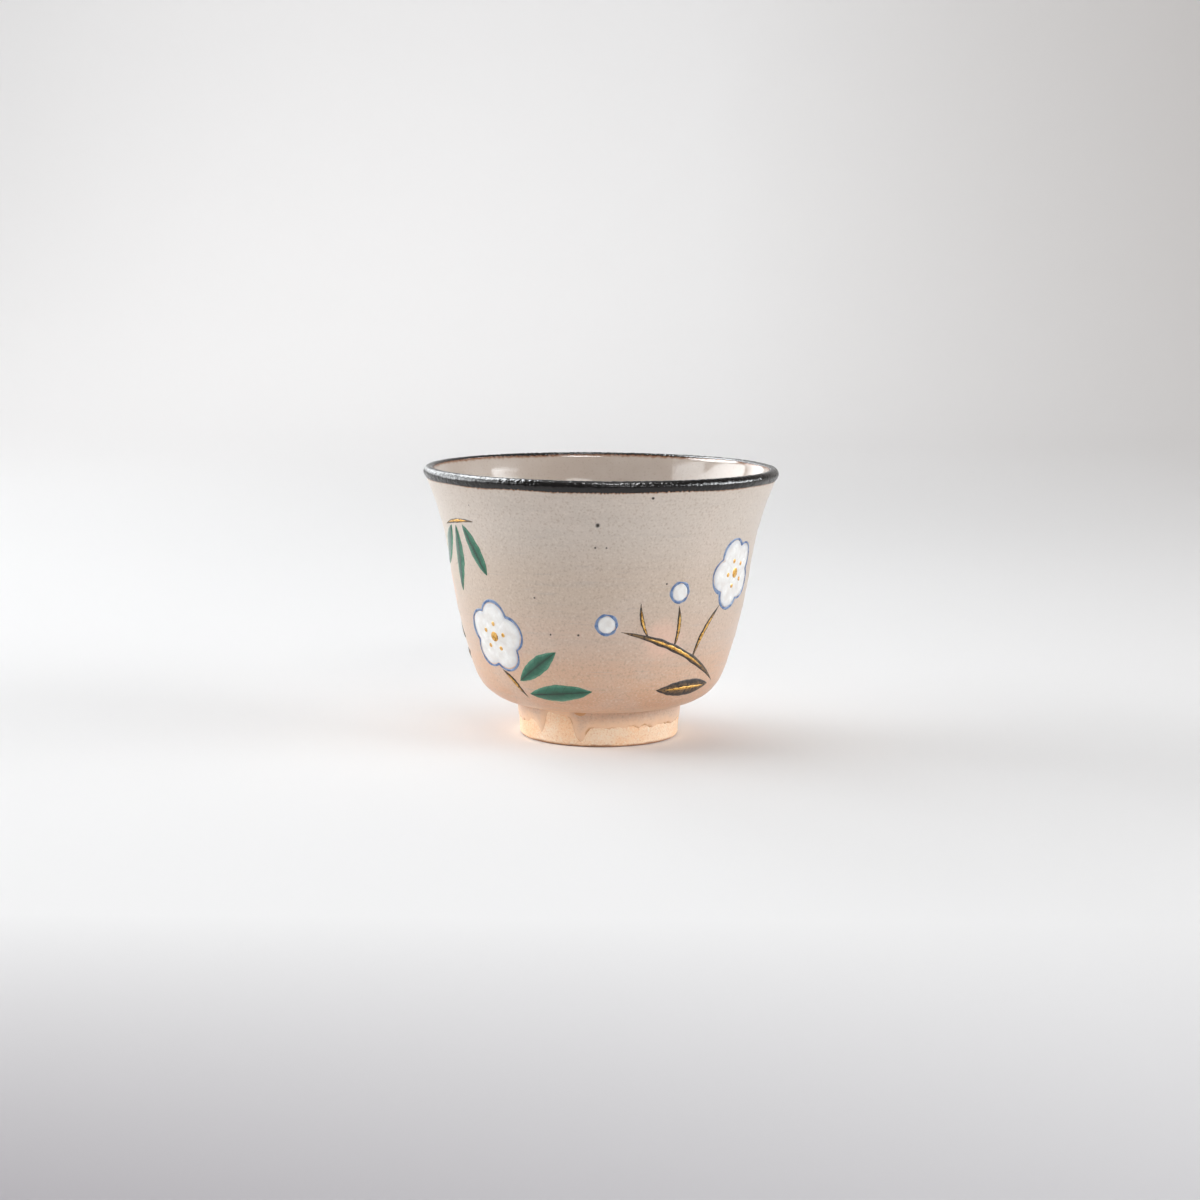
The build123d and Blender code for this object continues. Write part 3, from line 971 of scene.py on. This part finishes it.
directions = around(PAD_COLUMNS)
bud_reach = np.full(PAD_COLUMNS, BUD_RADIUS)
petal_pads = []
line_beads = []
stamen_pads = []
for azimuth, height, turn in BLOSSOMS:
    reach = petal_reach(directions, turn)
    petal_pads.append(pad(azimuth, height, reach, enamel_coats, groove=petal_groove(directions, turn)))
    line_beads.append(outline_bead(azimuth, height, reach, 50 + azimuth % 7))
    stamen_pads.append(pad(azimuth, height, HEART_RADIUS, gold_coats, columns=DOT_COLUMNS))
    for petal in range(PETALS):
        middle = STAMEN_REACH * leaning(turn + 360 * petal / PETALS)
        stamen_pads.append(pad(azimuth, height, STAMEN_RADIUS, gold_coats, middle, columns=DOT_COLUMNS))
for azimuth, height in BUDS:
    petal_pads.append(pad(azimuth, height, bud_reach, enamel_coats))
    line_beads.append(outline_bead(azimuth, height, bud_reach, 61))
print(len(petal_pads), "petal pads,", len(line_beads), "lines and", len(stamen_pads), "gold dots")

# %% Finishes of the blossoms


def aside_of(tree):
    """Distance from a stroke's middle line as a share of its half width."""
    return combined(tree, "ABSOLUTE", attribute(tree, "across"), 0.0)


def white_enamel_finish():
    """Glossy milk white, a little greyer towards its rim, with soft clouds and pinholes."""
    material, tree = new_finish("white_enamel")
    clouds = noise(tree, 0.7)
    tone = ramp(tree, clouds, [(0.3, (232, 228, 224)), (0.65, (244, 243, 241))])
    layers = [
        (span(tree, attribute(tree, "across"), 0.8, 1.0, 0.0, 0.6), (206, 210, 218)),
        (specks(tree, 1.2, 0.2, 0.06, 0.5), (168, 156, 146)),
    ]
    roughness = span(tree, clouds, 0.3, 0.7, 0.16, 0.28)
    waves = relief(tree, noise(tree, 1.6, 2.0), 0.03, 0.6)
    return finished(material, layered(tree, tone, layers), roughness, waves)


def blue_enamel_finish():
    """Blue line, deeper along its middle and greyer where the brush ran dry."""
    material, tree = new_finish("blue_enamel")
    dry = noise(tree, 0.9)
    tone = ramp(tree, dry, [(0.32, (84, 112, 160)), (0.7, (128, 150, 186))])
    tone = layered(tree, tone, [(span(tree, aside_of(tree), 0.55, 1.0, 0.0, 0.7), (156, 170, 192))])
    waves = relief(tree, noise(tree, 3.0, 2.0), 0.02, 0.6)
    return finished(material, tone, span(tree, dry, 0.3, 0.7, 0.2, 0.36), waves)


def gold_finish():
    """Soft fired gold, rubbed: brighter and smoother in places, brown where it has worn thin."""
    material, tree = new_finish("gold")
    worn = noise(tree, 1.9, 4.0)
    tone = ramp(tree, worn, [(0.32, (134, 92, 44)), (0.46, (222, 172, 92)), (0.75, (246, 206, 128))])
    roughness = span(tree, worn, 0.3, 0.6, 0.55, 0.34)
    return finished(material, tone, roughness, relief(tree, worn, 0.04, 0.8), metal=1.0)


gold = gold_finish()
mesh_piece("blossom_pads", petal_pads, white_enamel_finish(), "white_petals")
mesh_piece("blossom_lines", line_beads, blue_enamel_finish(), "blue_outlines")
mesh_piece("blossom_hearts", stamen_pads, gold, "gold_stamens")

# %% [markdown]
# ## Leaves and branches
# Green enamel is a coloured glass: dark where it pooled along the middle, lighter at its thin rim, with the
# brush's dark veins showing through. The other leaves and the branches are iron paint, matt and nearly
# black, with gold drawn along them. A bevelled curve would be a round cord, but a brush leaves a flat
# stroke that comes to a point, so all of them are strokes between two arcs.

# %% Leaf and branch shapes
LEAF_HALF = 1.5
VEIN_HALF = 0.25
VEIN_GAP = 1.2
GOLD_LINE = 0.45
GOLD_SHARE = 0.62
# Azimuth, height of the stalk end, tilt and length, in degrees and millimetres.
GREEN_SPRAYS = (
    (-34, 10.2, 6, 11.5),
    (-37.5, 12.4, 36, 10),
    (-66, 38.8, 226, 11),
    (-62, 39.0, 262, 12),
    (-57, 39.3, 300, 10),
    (92, 20.5, 20, 11),
    (93, 18.0, -8, 11),
    (141, 11.6, 176, 11),
    (208.5, 20.9, 24, 10),
)
DARK_SPRAYS = (
    (-80, 18.0, 168, 10),
    (-79, 15.5, 194, 14),
    (59, 11.3, 180, 12),
    (170, 15.4, -14, 12),
    (204, 18.6, -12, 13),
)
# Azimuth and height of a drawing's middle, start and end on the drawing, and the bows of both arcs.
BRANCHES = (
    (30, 17.5, (12.0, -6.0), (-9.9, 4.7), -2.3, -0.9),
    (30, 17.5, (4.8, -1.6), (10.2, 8.3), 1.3, 0.4),
    (30, 17.5, (0.5, 1.2), (0.5, 9.0), -0.9, -0.1),
    (30, 17.5, (-4.2, 2.9), (-6.6, 9.8), 0.9, 0.2),
    (178, 17.5, (-13.0, -5.0), (12.0, 3.0), 2.3, 0.8),
    (178, 17.5, (-7.1, -1.9), (-11.0, 10.2), 1.4, 0.6),
    (178, 17.5, (-1.0, 0.4), (-0.1, 6.8), 0.8, -0.1),
    (178, 17.5, (4.6, 1.9), (10.3, 9.5), -1.4, -0.6),
    (-112, 17.5, (2.4, -0.5), (0.5, 5.9), 0.9, 0.1),
    (-44, 12, (3.0, -2.6), (-1.3, 2.2), -0.9, -0.1),
    (-62, 38, (6.8, 2.0), (-5.0, 0.6), -0.1, -0.9),
)


def leaf(azimuth, height, tilt, length, seed):
    """Pointed leaf from its stalk end at the place given, leaning by its tilt."""
    bows = (LEAF_HALF, -LEAF_HALF)
    return stroke(azimuth, height, (0, 0), length * leaning(tilt), bows, enamel_coats, 0.03, seed)


def vein(azimuth, height, tilt, length, seed):
    """Gold line down the middle of a leaf, short of both its ends."""
    ends = leaning(tilt) * VEIN_GAP, leaning(tilt) * (length - VEIN_GAP)
    return stroke(azimuth, height, *ends, (VEIN_HALF, -VEIN_HALF), gold_coats, 0.16, seed)


def gold_line(azimuth, height, start, end, first_bow, second_bow, seed):
    """Gold along the middle of a branch, over the middle share of its length, on the mean of its two arcs."""
    start, end = np.array(start), np.array(end)
    run = end - start
    left = np.array([-run[1], run[0]]) / np.linalg.norm(run)
    bow = (first_bow + second_bow) / 2
    lift = left * bow * (1 - GOLD_SHARE**2)
    trim = run * (1 - GOLD_SHARE) / 2
    kept = bow * GOLD_SHARE**2
    half = min(GOLD_LINE, abs(first_bow - second_bow) / 2) / 2
    bows = (kept + half, kept - half)
    return stroke(azimuth, height, start + trim + lift, end - trim + lift, bows, gold_coats, 0.2, seed)


green_strokes = [leaf(*spray, 70 + number) for number, spray in enumerate(GREEN_SPRAYS)]
dark_strokes = [leaf(*spray, 90 + number) for number, spray in enumerate(DARK_SPRAYS)]
vein_strokes = [vein(*spray, 100 + number) for number, spray in enumerate(DARK_SPRAYS)]
branch_strokes = [
    stroke(azimuth, height, start, end, bows, enamel_coats, 0.07, 110 + number)
    for number, (azimuth, height, start, end, *bows) in enumerate(BRANCHES)
]
gold_strokes = [gold_line(*branch, 130 + number) for number, branch in enumerate(BRANCHES)]
print(len(green_strokes), "green leaves and", len(dark_strokes), "dark leaves with a gold vein each")
print(len(branch_strokes), "branch strokes with a gold line each")

# %% Finishes of the leaves and branches


def green_enamel_finish():
    """Green glass: pooled dark middle, lighter rim, slanting brush veins, clouds and a high gloss."""
    material, tree = new_finish("green_enamel")
    aside = aside_of(tree)
    pooled = combined(tree, "MULTIPLY", roughened(tree, aside, 0.8, 0.7), 0.6)
    tone = ramp(tree, pooled, [(0.2, (18, 72, 52)), (0.5, (36, 104, 80)), (0.85, (92, 148, 122))])
    slant = combined(tree, "SUBTRACT", attribute(tree, "along"), combined(tree, "MULTIPLY", aside, 1.3))
    side_vein = span(tree, combined(tree, "PINGPONG", slant, 0.8), 0.1, 0.0, 0.0, 0.5)
    middle_vein = span(tree, aside, 0.12, 0.03)
    veins = combined(tree, "MULTIPLY", combined(tree, "MAXIMUM", side_vein, middle_vein), 0.65)
    tone = layered(tree, tone, [(veins, (14, 40, 32))])
    waves = relief(tree, noise(tree, 1.2, 2.0), 0.03, 0.6)
    return finished(material, tone, 0.16, waves, gloss=0.6)


def iron_enamel_finish():
    """Iron paint: black brown rim, a thinner brown wash along the middle, dry streaks and little gloss."""
    material, tree = new_finish("iron_enamel")
    dry = noise(tree, 1.8, 4.0)
    tone = ramp(tree, dry, [(0.35, (40, 32, 28)), (0.7, (78, 66, 58))])
    middle = span(tree, aside_of(tree), 0.75, 0.2, 0.0, 0.75)
    wash = combined(tree, "MULTIPLY", middle, span(tree, dry, 0.35, 0.6))
    tone = layered(tree, tone, [(wash, (142, 108, 66))])
    return finished(material, tone, span(tree, dry, 0.3, 0.7, 0.34, 0.55), relief(tree, dry, 0.04, 0.8))


iron_enamel = iron_enamel_finish()
mesh_piece("green_sprays", green_strokes, green_enamel_finish(), "green_leaves")
mesh_piece("dark_sprays", dark_strokes, iron_enamel, "iron_leaves")
mesh_piece("leaf_gold", vein_strokes, gold, "gold_veins")
mesh_piece("branch_work", branch_strokes, iron_enamel, "iron_branches")
mesh_piece("branch_gold", gold_strokes, gold, "gold_strokes")

# %% [markdown]
# ## Floor and backdrop
# The cup stands on pale paper that sweeps up behind it, so no line shows where the floor ends. The light
# falls off to the far right and towards the front. Screens beside the lamps could do that, but they would
# show in the glossy coats, so that shade is painted into the paper's colour instead.

# %% Stage
FLOOR_FRONT = -0.9
FLOOR_BACK = 0.7
SWEEP_RADIUS = 0.5
SWEEP_TOP = 1.6
SWEEP_HALF = 1.8
SWEEP_COLUMNS = 12


def paper_finish():
    """Matt pale paper with painted shade where the light falls off: a little darker at the far right and
    towards its front, most at the front left.
    """
    material, tree = new_finish("paper")
    place = add_node(tree, "ShaderNodeSeparateXYZ", {"Vector": millimetres(tree)}).outputs
    # Painted shade: the paper darkens to the far right and towards the front, standing in for the light's
    # fall-off.
    to_right = span(tree, place["X"], 60, 430, steps="LINEAR")
    across_front = span(tree, place["X"], -60, 60, steps="LINEAR")
    to_front = span(tree, place["Y"], -128, -228, steps="LINEAR")
    tone = blended(tree, to_right, colour(247, 246, 246), colour(220, 216, 214))
    front = blended(tree, across_front, colour(183, 179, 183), colour(215, 213, 215))
    tone = blended(tree, to_front, tone, front)
    sockets = {"Base Color": tone, "Roughness": 0.9, "Specular IOR Level": 0.1}
    connect(tree, tree.nodes["Principled BSDF"], sockets)
    return material


def paper_sweep():
    """Sheet with a flat stretch, a quarter circle and a wall, carried across its width."""
    flat = np.column_stack([np.linspace(FLOOR_FRONT, FLOOR_BACK, 30), np.zeros(30)])
    bend = arc(np.array([FLOOR_BACK, SWEEP_RADIUS]), SWEEP_RADIUS, -math.pi / 2, 0, 24)[1:]
    rise = np.linspace(SWEEP_RADIUS, SWEEP_TOP, 13)[1:]
    wall = np.column_stack([np.full(rise.size, FLOOR_BACK + SWEEP_RADIUS), rise])
    line = np.vstack([flat, bend, wall])
    x, y = np.meshgrid(np.linspace(-SWEEP_HALF, SWEEP_HALF, SWEEP_COLUMNS), line[:, 0])
    z = np.broadcast_to(line[:, 1:], x.shape)
    index = np.arange(x.size).reshape(x.shape)
    corners = [index[:-1, :-1], index[:-1, 1:], index[1:, 1:], index[1:, :-1]]
    quads = np.stack(corners, axis=-1).reshape(-1, 4)
    points = np.stack([x, y, z], axis=-1).reshape(-1, 3)
    sheet = new_object("paper_sweep", points, quads.tolist(), paper_finish())
    return sheet


sweep = paper_sweep()
print("paper sweep has", len(sweep.data.polygons), "faces")

# %% [markdown]
# ## Light
# A wide soft window on the left, a small one further behind and a curtain make the bright left edge and the
# pale shadow on the right. A card and a window on the right and a lamp in front light that side and show as
# patches inside the cup. A lamp above, one for the backdrop and a dim sky fill the rest. The sparkles on the
# band and the sheen of the glaze need more than pale paper can stand, so four lamps are for the shine alone.

# %% Lamps and sky
CUP_MIDDLE = Vector((0.0, 0.0, 0.03))
PAPER_BEND = Vector((-0.08, 1.0, 0.06))
WHITE = (1.0, 1.0, 1.0)
DAYLIGHT = (0.95, 0.98, 1.0)
SKY_COLOUR = (1.0, 0.985, 0.97, 1.0)
SKY_STRENGTH = 0.255


def lamp(name, azimuth, elevation, distance, size, power, beam=180, tint=WHITE, aim=CUP_MIDDLE, shine=False):
    """Soft lamp that looks at a point from an azimuth and an elevation in degrees. Its place is that point
    plus the distance in that direction, and its light fans out by the angle of its beam. A lamp for the
    shine alone is seen in glossy coats and lights nothing else."""
    data = bpy.data.lights.new(name, "AREA")
    data.shape = "ELLIPSE" if shine else "RECTANGLE"
    data.size, data.size_y = size
    data.energy = power
    data.spread = math.radians(beam)
    data.color = tint
    turn, lift = math.radians(azimuth), math.radians(elevation)
    outwards = Vector((math.sin(turn) * math.cos(lift), -math.cos(turn) * math.cos(lift), math.sin(lift)))
    made = bpy.data.objects.new(name, data)
    facing = outwards.to_track_quat("Z", "Y").to_matrix().to_4x4()
    made.matrix_world = Matrix.Translation(aim + outwards * distance) @ facing
    made.visible_diffuse = not shine
    bpy.context.scene.collection.objects.link(made)


lamp("window_left", -108, 17, 1.1, (0.85, 0.5), 2.95, beam=100, tint=DAYLIGHT)
lamp("window_back", -148, 19, 0.75, (0.34, 0.34), 0.12, beam=44, tint=DAYLIGHT)
lamp("curtain_left", -75, 29, 1.1, (0.45, 0.3), 1.8, tint=DAYLIGHT)
lamp("card_right", 90, 11, 1.2, (1.0, 0.36), 3.8, tint=DAYLIGHT)
lamp("window_right", 73, 22, 1.1, (0.75, 0.32), 3.8, tint=DAYLIGHT)
lamp("front_right", 18, 31, 1.3, (0.4, 0.2), 2.1)
lamp("above", 180, 86, 1.3, (1.0, 1.0), 2.4)
lamp("backdrop", -30, 40, 0.9, (0.4, 0.4), 0.58, beam=80, aim=PAPER_BEND)
lamp("shine_left", -124, 48, 1.2, (1.1, 0.55), 22.0, tint=DAYLIGHT, shine=True)
lamp("shine_low", 95, 12, 1.2, (0.9, 0.28), 8.0, tint=DAYLIGHT, shine=True)
lamp("shine_right", 76, 26, 1.2, (0.75, 0.26), 1.6, tint=DAYLIGHT, shine=True)
lamp("shine_front", 24, 66, 1.2, (0.4, 0.25), 5.5, shine=True)
world = bpy.data.worlds.new("sky")
world.use_nodes = True
sky = world.node_tree.nodes["Background"]
connect(world.node_tree, sky, {"Color": SKY_COLOUR, "Strength": SKY_STRENGTH})
bpy.context.scene.world = world
bpy.context.scene.view_settings.view_transform = "Standard"
print("lamps:", [light.name for light in bpy.data.lights])
